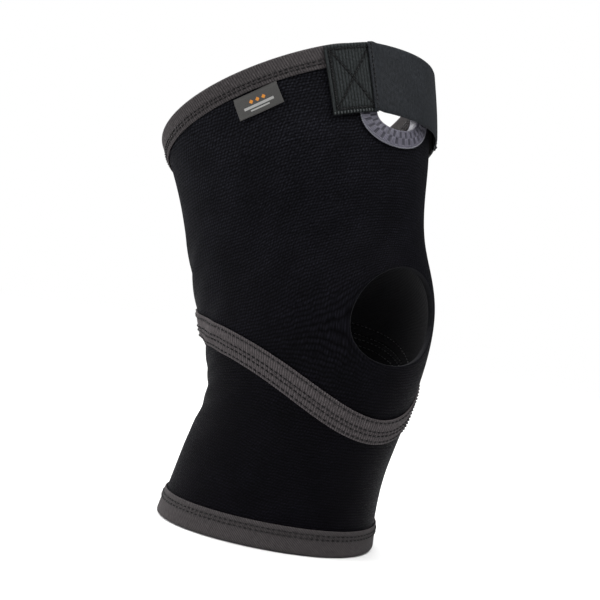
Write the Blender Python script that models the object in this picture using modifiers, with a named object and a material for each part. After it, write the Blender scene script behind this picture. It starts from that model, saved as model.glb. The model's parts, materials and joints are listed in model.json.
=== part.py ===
"""Open-patella knee sleeve with a pull strap, shaped as it is worn. Metres, +Z up, front towards -Y."""

import math

import bmesh
import bpy
import numpy as np
from mathutils import Matrix, Vector

MM = 0.001

# The sleeve follows a centreline that is upright at the calf and leans back above the knee.
LENGTH = 262 * MM
REST_FLEXION = math.radians(27.3)
BEND_START = 46 * MM
BEND_END = 152 * MM

# The calf's centreline lies behind the front, so that the middle of the whole sleeve is at x = y = 0.
ORIGIN_Y = -40.35 * MM

# Sections along the centreline: calf hem, calf, below the knee, knee, above the knee, thigh, top hem.
STATIONS = np.array([0, 47, 94, 131, 168, 215, 262]) * MM
HALF_DEPTH = np.array([65.8, 61.9, 65.2, 72.0, 73.0, 77.0, 82.4]) * MM
HALF_WIDTH = np.array([63.8, 58.8, 60.0, 66.2, 67.2, 72.4, 79.2]) * MM
FORWARD_SHIFT = np.array([-33.4, -25.9, -10.4, -0.3, -1.0, 7.4, 9.4]) * MM
KNEE_HALF_WIDTH = HALF_WIDTH[3]
EGG = 0.15

# Cloth
WALL = 3.6 * MM
TAPE = 0.9 * MM
GAP = 0.4 * MM
SEAM_GAP = 0.5 * MM
THREAD_RADIUS = 0.3 * MM
THREAD_CLEARANCE = 0.15 * MM
THREAD_LIFT = THREAD_CLEARANCE + THREAD_RADIUS

# Faces round the sleeve and round each hole, and along each cloth
SEGMENTS = 40
THIGH_ROWS = 13
CALF_ROWS = 9
STRAP_ROWS = 3
STRAP_COLUMNS = 14
TAB_COLUMNS = 4

# Hems
HEM_RISE = 14 * MM
HEM_SIDE_FALL = 4.9 * MM
HEM_DIP = 8.5 * MM
HEM_DIP_ANGLE = math.radians(17)
HEM_DIP_HALF_ANGLE = math.radians(50)
TOP_BINDING_WIDTH = 13.5 * MM
BOTTOM_BINDING_WIDTH = 16 * MM
FOLD = 1.1 * MM
HEM_CLEARANCE = 1.6 * MM
BINDING_ROWS = (0.2, 0.34)

# Diagonal seam from below the patella up to the back of the knee
SEAM_FRONT = 74.6 * MM
SEAM_BACK = 155 * MM
SEAM_POWER = 0.99
SEAM_TAPE_WIDTH = 16 * MM
SEAM_ROWS = (-0.78, -0.3, 0.02, 0.74)

# Patella opening
PATELLA_HEIGHT = 124.6 * MM
PATELLA_SIDE = -2.3 * MM
PATELLA_HALF_WIDTH = 32.4 * MM
PATELLA_HALF_HEIGHT = 27.6 * MM
PATELLA_TILT = math.radians(9.6)

# Eyelet above the patella
EYELET_ANGLE = math.radians(1)
EYELET_HEIGHT = 234.5 * MM
EYELET_HALF_WIDTH = 17 * MM
EYELET_HALF_HEIGHT = 9.8 * MM
EYELET_RING = 10 * MM
EYELET_SLACK = 1.6 * MM
PUNCH_DEPTH = 60 * MM

# Pull strap and its two sewn tabs
STRAP_WIDTH = 40 * MM
STRAP_TOP_NEAR = 274.6 * MM
STRAP_TOP_FAR = 265 * MM
STRAP_THICKNESS = 1.3 * MM
STRAP_OFFSET = 3.6 * MM
STRAP_STANDOFF = 3 * MM
STRAP_SAG = 3 * MM
STRAP_GAP = 0.6 * MM
NEAR_TAB = (math.radians(-36), math.radians(-14.5))
FAR_TAB = (math.radians(50), math.radians(71))
TAB_SEAM_INSET = 3 * MM
TAB_RETURN_INSET = 1.2 * MM
TAB_CROSSING_LIFT = 3 * THREAD_RADIUS

# Woven label under the top binding
LABEL_ANGLE = math.radians(-66)
LABEL_TOP = 256.6 * MM
LABEL_TILT = math.radians(10.3)
LABEL_SIZE = (28 * MM, 12 * MM, 0.8 * MM)
LABEL_CLEARANCE = 1.5 * MM

# Back seam
BACK_STITCH_STEP = 5 * MM
BACK_STITCH_HALF_WIDTH = 2 * MM
BACK_STITCH_CLEARANCE = 2 * MM

BLACK_KNIT = (0.006, 0.006, 0.008)
GREY_TAPE = (0.042, 0.038, 0.039)
STRAP_BLACK = (0.022, 0.025, 0.028)
RIBBED_BLACK = (0.014, 0.016, 0.018)
LAVENDER = (0.088, 0.085, 0.107)
GREY_THREAD = (0.03, 0.028, 0.029)
LABEL_GREY = (0.09, 0.087, 0.083)


def clear_scene():
    for old in list(bpy.data.objects):
        bpy.data.objects.remove(old, do_unlink=True)


def new_collection(name):
    made = bpy.data.collections.new(name)
    bpy.context.scene.collection.children.link(made)
    return made


def new_material(name, colour, roughness):
    made = bpy.data.materials.new(name)
    made.use_nodes = True
    shader = made.node_tree.nodes["Principled BSDF"]
    shader.inputs["Base Color"].default_value = (*colour, 1)
    shader.inputs["Roughness"].default_value = roughness
    shader.inputs["Metallic"].default_value = 0
    return made


# Sleeve surface ------------------------------------------------------------


def spline(values):
    """The natural cubic spline through values at the stations, as a function of height."""
    count = len(STATIONS)
    step = np.diff(STATIONS)
    matrix = np.eye(count)
    right = np.zeros(count)
    for i in range(1, count - 1):
        matrix[i, i - 1 : i + 2] = step[i - 1], 2 * (step[i - 1] + step[i]), step[i]
        right[i] = 6 * ((values[i + 1] - values[i]) / step[i] - (values[i] - values[i - 1]) / step[i - 1])
    curvature = np.linalg.solve(matrix, right)

    def at(height):
        k = int(np.clip(np.searchsorted(STATIONS, height) - 1, 0, count - 2))
        a = (STATIONS[k + 1] - height) / step[k]
        b = 1 - a
        bend = (a**3 - a) * curvature[k] + (b**3 - b) * curvature[k + 1]
        return a * values[k] + b * values[k + 1] + bend * step[k] ** 2 / 6

    return at


half_depth = spline(HALF_DEPTH)
half_width = spline(HALF_WIDTH)
forward_shift = spline(FORWARD_SHIFT)


def lean(height):
    """Backward lean of the centreline, growing smoothly from the calf to the thigh."""
    t = np.clip((height - BEND_START) / (BEND_END - BEND_START), 0, 1)
    return REST_FLEXION * t * t * (3 - 2 * t)


# The centreline at every millimetre, from below the bottom hem to above the top one
HEIGHTS = np.arange(-20, 291) * MM
CENTRE_Y = np.cumsum(np.sin(lean(HEIGHTS))) * MM
CENTRE_Z = np.cumsum(np.cos(lean(HEIGHTS))) * MM
CENTRE_Y -= np.interp(0, HEIGHTS, CENTRE_Y) - ORIGIN_Y
CENTRE_Z -= np.interp(0, HEIGHTS, CENTRE_Z)


def skin(angle, height, outward=0.0):
    """A point of the sleeve: angle from the front towards +X, height along the centreline, offset outward."""
    depth = half_depth(height)
    width = half_width(height)
    side = width * math.sin(angle) * (1 - EGG * math.cos(angle))
    front = depth * math.cos(angle) + forward_shift(height)
    normal_side = depth * math.sin(angle)
    normal_front = width * (math.cos(angle) - EGG * math.cos(2 * angle))
    size = math.hypot(normal_side, normal_front)
    side += outward * normal_side / size
    front += outward * normal_front / size
    tilt = float(lean(height))
    y = float(np.interp(height, HEIGHTS, CENTRE_Y)) - front * math.cos(tilt)
    z = float(np.interp(height, HEIGHTS, CENTRE_Z)) + front * math.sin(tilt)
    return Vector((side, y, z))


def centre(height):
    """The centreline's point at a height."""
    y, z = (float(np.interp(height, HEIGHTS, values)) for values in (CENTRE_Y, CENTRE_Z))
    return Vector((0, y, z))


def across(angle, height, step=0.1 * MM):
    """How the surface point moves for a unit of angle and a unit of height."""
    turn = step / half_depth(height)
    by_angle = (skin(angle + turn, height) - skin(angle - turn, height)) / (2 * turn)
    by_height = (skin(angle, height + step) - skin(angle, height - step)) / (2 * step)
    return by_angle, by_height


def top_hem(angle):
    """Height of the top edge: it rises to the front, falls to one side and dips behind the strap."""
    from_dip = min(abs(angle - HEM_DIP_ANGLE) / HEM_DIP_HALF_ANGLE, 1)
    dip = HEM_DIP * (1 + math.cos(math.pi * from_dip)) / 2
    return LENGTH + HEM_RISE * math.cos(angle) - HEM_SIDE_FALL * math.sin(angle) - dip


def seam(angle):
    """Height of the diagonal seam between the calf and thigh panels."""
    rise = ((1 - math.cos(angle)) / 2) ** SEAM_POWER
    return SEAM_FRONT + (SEAM_BACK - SEAM_FRONT) * rise


SLOPE_TURN = 0.01


def beside_seam(angle, shift):
    """Height of a line that runs beside the seam at a true distance, positive above it."""
    by_angle, by_height = across(angle, seam(angle))
    slope = (seam(angle + SLOPE_TURN) - seam(angle - SLOPE_TURN)) / (2 * SLOPE_TURN)
    run = by_angle + slope * by_height
    return seam(angle) + shift * run.length / by_height.cross(run).length


# Building blocks -----------------------------------------------------------


def ring_angles():
    """Angles once round the sleeve, starting at the centre back."""
    return [-math.pi + 2 * math.pi * i / SEGMENTS for i in range(SEGMENTS)]


def slit_angles():
    """Angles from one side of the back seam round to the other."""
    slit = SEAM_GAP / 2 / KNEE_HALF_WIDTH
    return [slit - math.pi + (2 * math.pi - 2 * slit) * i / SEGMENTS for i in range(SEGMENTS + 1)]


def steps(low, high, count):
    return [low + (high - low) * i / count for i in range(count + 1)]


def place(obj, hinge, material, collection):
    """Give an object its material and collection, and move its origin on to its hinge."""
    obj.data.materials.append(material)
    obj.data.transform(Matrix.Translation(-hinge.matrix_world.translation))
    obj.parent = hinge
    collection.objects.link(obj)
    return obj


def new_hinge(name, position, parent, collection):
    empty = bpy.data.objects.new(name, None)
    empty.empty_display_size = 20 * MM
    empty.location = position
    if parent:
        empty.parent = parent
        empty.location = position - parent.matrix_world.translation
    collection.objects.link(empty)
    bpy.context.view_layer.update()
    return empty


def sheet(name, rows, columns, point, thickness, closed=False):
    """An open grid of cloth that Solidify thickens inward from its outer face."""
    mesh = bpy.data.meshes.new(name)
    made = bmesh.new()
    grid = [[made.verts.new(point(row, column)) for column in columns] for row in rows]
    pairs = len(grid) if closed else len(grid) - 1
    for i in range(pairs):
        after = grid[(i + 1) % len(grid)]
        for j in range(len(columns) - 1):
            made.faces.new((grid[i][j], after[j], after[j + 1], grid[i][j + 1]))
    made.to_mesh(mesh)
    made.free()
    mesh.shade_smooth()
    obj = bpy.data.objects.new(name, mesh)
    solid = obj.modifiers.new("thickness", "SOLIDIFY")
    solid.thickness = thickness
    solid.offset = -1
    solid.use_even_offset = True
    return obj


def thread(name, points, closed):
    """A round thread through points."""
    curve = bpy.data.curves.new(name, "CURVE")
    curve.dimensions = "3D"
    curve.bevel_depth = THREAD_RADIUS
    curve.bevel_resolution = 0
    curve.use_fill_caps = True
    line = curve.splines.new("POLY")
    line.points.add(len(points) - 1)
    for spot, position in zip(line.points, points):
        spot.co = (*position, 1)
    line.use_cyclic_u = closed
    return bpy.data.objects.new(name, curve)


def cutter(name, angle, height, half_wide, half_high, tilt, collection):
    """An oval punch through the front wall, square to the sleeve's centreline."""
    made = bmesh.new()
    bmesh.ops.create_cone(made, cap_ends=True, segments=SEGMENTS, radius1=1, radius2=1, depth=1)
    bmesh.ops.scale(made, verts=made.verts, vec=(half_wide, half_high, PUNCH_DEPTH))
    mesh = bpy.data.meshes.new(name)
    made.to_mesh(mesh)
    made.free()
    obj = bpy.data.objects.new(name, mesh)
    side = across(angle, height)[0].normalized()
    outward = (skin(angle, height, WALL) - skin(angle, height)).normalized()
    turn = Matrix((side, outward.cross(side), outward)).transposed().to_4x4()
    obj.matrix_world = Matrix.Translation(skin(angle, height)) @ turn @ Matrix.Rotation(tilt, 4, "Z")
    obj.hide_render = True
    obj.display_type = "WIRE"
    collection.objects.link(obj)
    return obj


def cut(obj, tool):
    hole = obj.modifiers.new(tool.name, "BOOLEAN")
    hole.operation = "DIFFERENCE"
    hole.solver = "EXACT"
    hole.object = tool


# Parts ---------------------------------------------------------------------


def thigh_panel():
    def point(angle, share):
        low = seam(angle) + SEAM_GAP / 2
        high = top_hem(angle) - TAPE - HEM_CLEARANCE
        return skin(angle, low + (high - low) * share)

    return sheet("thigh_panel", slit_angles(), steps(0, 1, THIGH_ROWS), point, WALL)


def calf_panel():
    def point(angle, share):
        low = TAPE + HEM_CLEARANCE
        high = seam(angle) - SEAM_GAP / 2
        return skin(angle, low + (high - low) * share)

    return sheet("calf_panel", slit_angles(), steps(0, 1, CALF_ROWS), point, WALL)


def fold_profile(width):
    """The outer face of a binding folded over an edge: distance from the edge and offset outward."""
    outer = GAP + TAPE
    inner = -WALL - 2 * GAP - TAPE
    face = [(width, outer), (FOLD, outer), (0, outer - FOLD)]
    back = [(0, inner + FOLD), (FOLD, inner), (width, inner)]
    return face + back


def top_binding():
    def point(angle, spot):
        return skin(angle, top_hem(angle) - spot[0], spot[1])

    return sheet("top_binding", ring_angles(), fold_profile(TOP_BINDING_WIDTH), point, TAPE, closed=True)


def bottom_binding():
    def point(angle, spot):
        return skin(angle, spot[0], spot[1])

    profile = fold_profile(BOTTOM_BINDING_WIDTH)[::-1]
    return sheet("bottom_binding", ring_angles(), profile, point, TAPE, closed=True)


def seam_tape():
    def point(angle, share):
        return skin(angle, beside_seam(angle, share * SEAM_TAPE_WIDTH / 2), GAP + TAPE)

    return sheet("seam_tape", ring_angles(), (-1, 0, 1), point, TAPE, closed=True)


def ring_thread(name, height_at):
    return thread(name, [skin(a, height_at(a), GAP + TAPE + THREAD_LIFT) for a in ring_angles()], closed=True)


def top_thread(share):
    return lambda angle: top_hem(angle) - TOP_BINDING_WIDTH * (1 - share)


def bottom_thread(share):
    return lambda angle: BOTTOM_BINDING_WIDTH * (1 - share)


def seam_thread(share):
    return lambda angle: beside_seam(angle, share * SEAM_TAPE_WIDTH / 2)


def eyelet_ring():
    """Embroidery over both faces of the eyelet's edge."""
    spread = across(EYELET_ANGLE, EYELET_HEIGHT)[0].length
    outer = GAP + TAPE
    inner = -WALL - 2 * GAP - TAPE
    face = [(EYELET_RING, outer), (EYELET_RING / 2, outer), (0, outer)]
    profile = face + [(0, inner), (EYELET_RING / 2, inner)]

    def point(turn, spot):
        side = (EYELET_HALF_WIDTH + spot[0]) * math.cos(turn)
        up = (EYELET_HALF_HEIGHT + spot[0]) * math.sin(turn)
        return skin(EYELET_ANGLE + side / spread, EYELET_HEIGHT + up, spot[1])

    turns = [2 * math.pi * i / SEGMENTS for i in range(SEGMENTS)]
    return sheet("eyelet_ring", turns, profile, point, TAPE, closed=True)


def strap_run(angle):
    """0 at the near tab, 1 at the far tab."""
    share = (angle - NEAR_TAB[1]) / (FAR_TAB[0] - NEAR_TAB[1])
    return min(max(share, 0), 1)


def strap_arch(angle):
    """0 at the strap's two sewn ends, 1 halfway across the front."""
    return math.sin(math.pi * strap_run(angle))


def strap_point(angle, share, lift=0.0):
    """The strap's outer face; share runs from its lower edge, 0, to its upper edge, 1."""
    arch = strap_arch(angle)
    top = STRAP_TOP_NEAR + (STRAP_TOP_FAR - STRAP_TOP_NEAR) * strap_run(angle)
    height = top - STRAP_SAG * arch - STRAP_WIDTH * (1 - share)
    return skin(angle, height, STRAP_OFFSET + STRAP_STANDOFF * arch + lift)


def pull_strap():
    trim = STRAP_GAP / HALF_WIDTH[-1]
    angles = steps(NEAR_TAB[1] + trim, FAR_TAB[0] - trim, STRAP_COLUMNS)
    return sheet("pull_strap", angles, steps(0, 1, STRAP_ROWS), strap_point, STRAP_THICKNESS)


def strap_tab(name, ends):
    return sheet(name, steps(*ends, TAB_COLUMNS), steps(0, 1, STRAP_ROWS), strap_point, STRAP_THICKNESS)


def box_stitch(name, ends):
    """One thread: round the box, across, back along the top, and across again over itself."""
    reach = (strap_point(ends[1], 0.5) - strap_point(ends[0], 0.5)).length

    def spot(side, up, inset, lift=0.0):
        angle = ends[0] + (ends[1] - ends[0]) * (0.5 + side * (0.5 - inset / reach))
        share = 0.5 + up * (0.5 - inset / STRAP_WIDTH)
        return strap_point(angle, share, THREAD_LIFT + lift)

    outer = TAB_SEAM_INSET
    inner = TAB_SEAM_INSET + TAB_RETURN_INSET
    corners = [(-1, -1, outer), (1, -1, outer), (1, 1, outer), (-1, 1, outer)]
    corners += [(-1, -1, inner), (1, 1, inner), (-1, 1, inner), (1, -1, inner)]
    path = []
    for here, there in zip(corners, corners[1:]):
        last = there == corners[-1]
        for t in steps(0, 1, 4)[:-1]:
            side, up, inset = (p + (q - p) * t for p, q in zip(here, there))
            path.append(spot(side, up, inset, TAB_CROSSING_LIFT * math.sin(math.pi * t) if last else 0))
    path.append(spot(*corners[-1]))
    return thread(name, path, closed=False)


def back_thread(name, low, high):
    """Zigzag thread over the butted edges at the centre back."""
    count = round((high - low) / BACK_STITCH_STEP)
    points = []
    for i, height in enumerate(steps(low, high, count)):
        side = BACK_STITCH_HALF_WIDTH / half_width(height) * (1 if i % 2 else -1)
        points.append(skin(math.pi + side, height, GAP + THREAD_LIFT))
    return thread(name, points, closed=False)


def label_axes():
    """The label's hinge point and its sideways, upward and outward directions."""
    by_angle, by_height = across(LABEL_ANGLE, LABEL_TOP)
    outward = by_angle.cross(by_height).normalized()
    side = Matrix.Rotation(LABEL_TILT, 3, outward) @ by_angle.normalized()
    return skin(LABEL_ANGLE, LABEL_TOP) + outward * LABEL_CLEARANCE, side, outward.cross(side), outward


def woven_label():
    """A flat label that hangs from its upper edge."""
    hinge, side, up, outward = label_axes()
    made = bmesh.new()
    bmesh.ops.create_cube(made, size=1)
    bmesh.ops.scale(made, verts=made.verts, vec=LABEL_SIZE)
    bmesh.ops.translate(made, verts=made.verts, vec=(0, -LABEL_SIZE[1] / 2, -LABEL_SIZE[2] / 2))
    turn = Matrix((side, up, outward)).transposed().to_4x4()
    bmesh.ops.transform(made, verts=made.verts, matrix=Matrix.Translation(hinge) @ turn)
    mesh = bpy.data.meshes.new("woven_label")
    made.to_mesh(mesh)
    made.free()
    return bpy.data.objects.new("woven_label", mesh)


def build():
    clear_scene()
    parts = new_collection("knee_brace")
    tools = new_collection("cutters")
    knit = new_material("black_knit", BLACK_KNIT, 0.85)
    grey = new_material("grey_tape", GREY_TAPE, 0.8)
    webbing = new_material("strap_webbing", STRAP_BLACK, 0.7)
    ribbed = new_material("ribbed_tab", RIBBED_BLACK, 0.75)
    satin = new_material("lavender_thread", LAVENDER, 0.5)
    sewing = new_material("grey_thread", GREY_THREAD, 0.6)
    woven = new_material("label_weave", LABEL_GREY, 0.6)

    calf = new_hinge("calf", Vector((0, 0, 0)), None, parts)
    knee = new_hinge("knee_axis", centre(PATELLA_HEIGHT), calf, parts)
    strap_axis = new_hinge("strap_axis", strap_point(NEAR_TAB[1], 1), knee, parts)
    label_axis = new_hinge("label_axis", label_axes()[0], knee, parts)

    place(calf_panel(), calf, knit, parts)
    thigh = place(thigh_panel(), knee, knit, parts)
    side = PATELLA_SIDE / across(0, PATELLA_HEIGHT)[0].length
    size = (PATELLA_HALF_WIDTH, PATELLA_HALF_HEIGHT)
    cut(thigh, cutter("patella_cutter", side, PATELLA_HEIGHT, *size, PATELLA_TILT, tools))
    size = (EYELET_HALF_WIDTH + TAPE + EYELET_SLACK, EYELET_HALF_HEIGHT + TAPE + EYELET_SLACK)
    cut(thigh, cutter("eyelet_cutter", EYELET_ANGLE, EYELET_HEIGHT, *size, 0, tools))

    place(bottom_binding(), calf, grey, parts)
    place(top_binding(), knee, grey, parts)
    place(seam_tape(), calf, grey, parts)
    place(eyelet_ring(), knee, satin, parts)
    for i, share in enumerate(BINDING_ROWS, 1):
        place(ring_thread(f"top_binding_stitch_{i}", top_thread(share)), knee, sewing, parts)
        place(ring_thread(f"bottom_binding_stitch_{i}", bottom_thread(share)), calf, sewing, parts)
    for i, share in enumerate(SEAM_ROWS, 1):
        place(ring_thread(f"seam_tape_stitch_{i}", seam_thread(share)), calf, sewing, parts)

    place(pull_strap(), strap_axis, webbing, parts)
    for side_name, ends in (("near", NEAR_TAB), ("far", FAR_TAB)):
        place(strap_tab(f"strap_tab_{side_name}", ends), knee, ribbed, parts)
        place(box_stitch(f"strap_tab_stitch_{side_name}", ends), knee, sewing, parts)
    place(woven_label(), label_axis, woven, parts)

    tape_edge = SEAM_TAPE_WIDTH / 2 + BACK_STITCH_CLEARANCE
    low = BOTTOM_BINDING_WIDTH + BACK_STITCH_CLEARANCE
    place(back_thread("back_seam_thread_calf", low, beside_seam(math.pi, -tape_edge)), calf, sewing, parts)
    high = top_hem(math.pi) - TOP_BINDING_WIDTH - BACK_STITCH_CLEARANCE
    place(back_thread("back_seam_thread_thigh", beside_seam(math.pi, tape_edge), high), knee, sewing, parts)


build()
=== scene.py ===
"""Looks of the open-patella knee sleeve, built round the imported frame. Metres, +Z up, front towards -Y."""

import json
import math

import bpy
import numpy as np
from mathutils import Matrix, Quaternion, Vector


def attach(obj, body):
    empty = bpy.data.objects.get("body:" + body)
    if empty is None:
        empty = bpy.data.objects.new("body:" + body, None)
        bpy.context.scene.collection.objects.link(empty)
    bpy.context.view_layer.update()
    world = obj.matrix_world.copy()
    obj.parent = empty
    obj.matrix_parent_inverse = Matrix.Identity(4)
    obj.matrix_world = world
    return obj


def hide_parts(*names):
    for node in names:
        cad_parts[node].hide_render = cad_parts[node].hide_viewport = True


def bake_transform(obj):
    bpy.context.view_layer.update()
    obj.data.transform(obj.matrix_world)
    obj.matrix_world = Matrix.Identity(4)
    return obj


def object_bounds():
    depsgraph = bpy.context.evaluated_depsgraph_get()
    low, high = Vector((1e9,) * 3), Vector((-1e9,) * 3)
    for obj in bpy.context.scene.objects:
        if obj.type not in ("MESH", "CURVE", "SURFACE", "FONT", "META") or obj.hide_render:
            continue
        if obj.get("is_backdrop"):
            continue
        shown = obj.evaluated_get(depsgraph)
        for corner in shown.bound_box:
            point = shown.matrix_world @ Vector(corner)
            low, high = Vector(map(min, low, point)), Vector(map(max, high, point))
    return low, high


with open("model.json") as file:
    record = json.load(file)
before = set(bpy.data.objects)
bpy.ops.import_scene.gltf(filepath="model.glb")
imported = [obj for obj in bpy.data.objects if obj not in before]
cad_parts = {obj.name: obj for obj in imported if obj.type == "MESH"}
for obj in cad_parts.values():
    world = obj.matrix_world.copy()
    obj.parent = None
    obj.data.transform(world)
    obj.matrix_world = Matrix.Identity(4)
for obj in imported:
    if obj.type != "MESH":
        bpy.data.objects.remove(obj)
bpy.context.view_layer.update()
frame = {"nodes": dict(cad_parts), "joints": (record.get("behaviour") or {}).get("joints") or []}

MM = 0.001
JOINTS = {joint["name"]: joint for joint in frame["joints"]}

# The sleeve's surface: a centreline that leans back above the knee, and egg-shaped sections along it.
REST_FLEXION = math.radians(27.3)
BEND_START = 46 * MM
BEND_END = 152 * MM
LENGTH = 262 * MM
STATIONS = np.array([0, 47, 94, 131, 168, 215, 262]) * MM
HALF_DEPTH = np.array([65.8, 61.9, 65.2, 72.0, 73.0, 77.0, 82.4]) * MM
HALF_WIDTH = np.array([63.8, 58.8, 60.0, 66.2, 67.2, 72.4, 79.2]) * MM
FORWARD_SHIFT = np.array([-33.4, -25.9, -10.4, -0.3, -1.0, 7.4, 9.4]) * MM
EGG = 0.15
GIRTH_RADIUS = 70 * MM

# Cloth layers
WALL = 3.6 * MM
TAPE = 0.9 * MM
GAP = 0.4 * MM
TAPE_OUTER = GAP + TAPE
TAPE_INNER = -WALL - 2 * GAP - TAPE
THREAD_RADIUS = 0.32 * MM

# Hems
HEM_RISE = 14 * MM
HEM_SIDE_FALL = 4.9 * MM
HEM_DIP = 8.5 * MM
HEM_DIP_ANGLE = math.radians(17)
HEM_DIP_HALF_ANGLE = math.radians(50)
TOP_BINDING_WIDTH = 13.5 * MM
BOTTOM_BINDING_WIDTH = 16 * MM
HEM_CLEARANCE = 1.6 * MM
BINDING_ROWS = (0.2, 0.34)
RIB_PITCH = 1.6 * MM
RIB_HEIGHT = 0.22 * MM
HEM_SLANT = 1.1

# Diagonal seam
SEAM_FRONT = 74.6 * MM
SEAM_BACK = 155 * MM
SEAM_POWER = 0.99
SEAM_TAPE_WIDTH = 16 * MM
SEAM_ROWS = (-0.78, -0.3, 0.02, 0.74)
STITCH_PITCH = 3.3 * MM

# Patella opening
PATELLA_HEIGHT = 124.6 * MM
PATELLA_SIDE = -2.3 * MM
PATELLA_HALF_WIDTH = 32.4 * MM
PATELLA_HALF_HEIGHT = 27.6 * MM
PATELLA_TILT = math.radians(9.6)

# Eyelet
EYELET_ANGLE = math.radians(1)
EYELET_HEIGHT = 234.5 * MM
EYELET_HALF_WIDTH = 17 * MM
EYELET_HALF_HEIGHT = 9.8 * MM
EYELET_RING = 10 * MM
EYELET_SLACK = 1.6 * MM
EYELET_SLOTS = 28

# Pull strap and its tabs
STRAP_WIDTH = 40 * MM
STRAP_TOP_NEAR = 274.6 * MM
STRAP_TOP_FAR = 265 * MM
STRAP_THICKNESS = 1.3 * MM
STRAP_OFFSET = 3.6 * MM
STRAP_STANDOFF = 3 * MM
STRAP_SAG = 3 * MM
NEAR_TAB = (math.radians(-36), math.radians(-14.5))
FAR_TAB = (math.radians(50), math.radians(71))

# Woven label
LABEL_ANGLE = math.radians(-66)
LABEL_TOP = 256.6 * MM
LABEL_SIZE = (28 * MM, 12 * MM)


# Surface


def spline(values):
    """The natural cubic spline through values at the stations, as a function of height."""
    count = len(STATIONS)
    step = np.diff(STATIONS)
    matrix = np.eye(count)
    right = np.zeros(count)
    for i in range(1, count - 1):
        matrix[i, i - 1 : i + 2] = step[i - 1], 2 * (step[i - 1] + step[i]), step[i]
        right[i] = 6 * ((values[i + 1] - values[i]) / step[i] - (values[i] - values[i - 1]) / step[i - 1])
    curvature = np.linalg.solve(matrix, right)

    def at(height):
        k = np.clip(np.searchsorted(STATIONS, height) - 1, 0, count - 2)
        a = (STATIONS[k + 1] - height) / step[k]
        b = 1 - a
        bend = (a**3 - a) * curvature[k] + (b**3 - b) * curvature[k + 1]
        return a * values[k] + b * values[k + 1] + bend * step[k] ** 2 / 6

    return at


half_depth = spline(HALF_DEPTH)
half_width = spline(HALF_WIDTH)
forward_shift = spline(FORWARD_SHIFT)


def lean(height):
    t = np.clip((height - BEND_START) / (BEND_END - BEND_START), 0, 1)
    return REST_FLEXION * t * t * (3 - 2 * t)


KNEE = JOINTS["knee_flexion"]["pos_m"]
HEIGHTS = np.arange(-20, 291) * MM
CENTRE_Y = np.cumsum(np.sin(lean(HEIGHTS))) * MM
CENTRE_Z = np.cumsum(np.cos(lean(HEIGHTS))) * MM
CENTRE_Y += KNEE[1] - np.interp(PATELLA_HEIGHT, HEIGHTS, CENTRE_Y)
CENTRE_Z += KNEE[2] - np.interp(PATELLA_HEIGHT, HEIGHTS, CENTRE_Z)


def skin(angle, height, out=0.0):
    """Points of the smooth sleeve, by angle from the front towards +X and height along the centreline."""
    angle, height, out = np.broadcast_arrays(angle, height, out)
    depth = half_depth(height)
    width = half_width(height)
    side = width * np.sin(angle) * (1 - EGG * np.cos(angle))
    front = depth * np.cos(angle) + forward_shift(height)
    normal_side = depth * np.sin(angle)
    normal_front = width * (np.cos(angle) - EGG * np.cos(2 * angle))
    size = np.hypot(normal_side, normal_front)
    side = side + out * normal_side / size
    front = front + out * normal_front / size
    tilt = lean(height)
    y = np.interp(height, HEIGHTS, CENTRE_Y) - front * np.cos(tilt)
    z = np.interp(height, HEIGHTS, CENTRE_Z) + front * np.sin(tilt)
    return np.stack([side, y, z], -1)


def slopes(angle, height):
    """How the surface point moves for a unit of angle and a unit of height."""
    turn = 0.002
    rise = 0.1 * MM
    by_angle = (skin(angle + turn, height) - skin(angle - turn, height)) / (2 * turn)
    by_height = (skin(angle, height + rise) - skin(angle, height - rise)) / (2 * rise)
    return by_angle, by_height


def unit(vectors):
    return vectors / np.linalg.norm(vectors, axis=-1, keepdims=True)


def top_hem(angle):
    """Height of the top edge: it rises to the front, falls to one side and dips behind the strap."""
    wrapped = np.mod(angle + math.pi, 2 * math.pi) - math.pi
    from_dip = np.minimum(abs(wrapped - HEM_DIP_ANGLE) / HEM_DIP_HALF_ANGLE, 1)
    dip = HEM_DIP * (1 + np.cos(math.pi * from_dip)) / 2
    return LENGTH + HEM_RISE * np.cos(angle) - HEM_SIDE_FALL * np.sin(angle) - dip


def seam(angle):
    """Height of the diagonal seam between the calf and thigh panels."""
    rise = ((1 - np.cos(angle)) / 2) ** SEAM_POWER
    return SEAM_FRONT + (SEAM_BACK - SEAM_FRONT) * rise


def beside_seam(angle, shift):
    """Height of a line beside the seam at a true distance, positive above it."""
    turn = 0.01
    by_angle, by_height = slopes(angle, seam(angle))
    slope = (seam(angle + turn) - seam(angle - turn)) / (2 * turn)
    run = by_angle + slope[..., None] * by_height
    stretch = np.linalg.norm(run, axis=-1) / np.linalg.norm(np.cross(by_height, run), axis=-1)
    return seam(angle) + shift * stretch


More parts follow.
